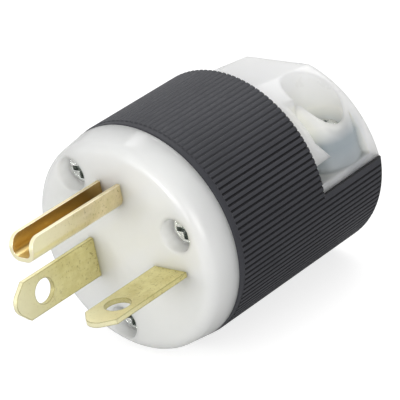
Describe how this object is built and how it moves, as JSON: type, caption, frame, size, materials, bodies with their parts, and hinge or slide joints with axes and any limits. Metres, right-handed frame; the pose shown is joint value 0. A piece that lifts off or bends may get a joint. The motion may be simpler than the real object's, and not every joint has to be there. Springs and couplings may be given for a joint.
{
  "type": "straight blade plug",
  "caption": "Straight blade electrical plug: flat line blades at right angles and a folded ground pin in a white face, with a ribbed grip shell and a saddle cord clamp.",
  "frame": {"origin": "centre of the white front face, on the plug's axis", "axes": "-Y along the blades into the receptacle, +Y to the cord, +Z towards the ground pin, +X to the side of the horizontal blade"},
  "size_m": [0.0362, 0.0607, 0.0362],
  "materials": {
    "white_nylon": "glossy moulded white nylon",
    "charcoal_nylon": "satin moulded charcoal nylon",
    "translucent_nylon": "milky translucent nylon",
    "blade_brass": "satin rolled brass",
    "zinc_steel": "zinc plated steel",
    "green_screw": "green plated steel"
  },
  "bodies": {
    "root": {"face_body": "white_nylon", "terminal_retainer": "white_nylon", "grip_shell": "charcoal_nylon", "cord_clamp": "translucent_nylon", "line_blade_vertical": "blade_brass", "line_blade_horizontal": "blade_brass", "ground_pin": "blade_brass", "wire_plate_vertical": "blade_brass", "wire_plate_horizontal": "blade_brass", "wire_plate_ground": "blade_brass", "terminal_screw_vertical": "blade_brass", "terminal_screw_horizontal": "blade_brass", "terminal_screw_ground": "green_screw", "clamp_screw_left": "zinc_steel", "clamp_screw_right": "zinc_steel", "clamp_nut_left": "zinc_steel", "clamp_nut_right": "zinc_steel", "assembly_screw_lower": "zinc_steel", "assembly_screw_side": "zinc_steel", "assembly_screw_upper": "zinc_steel"}
  },
  "joints": []
}
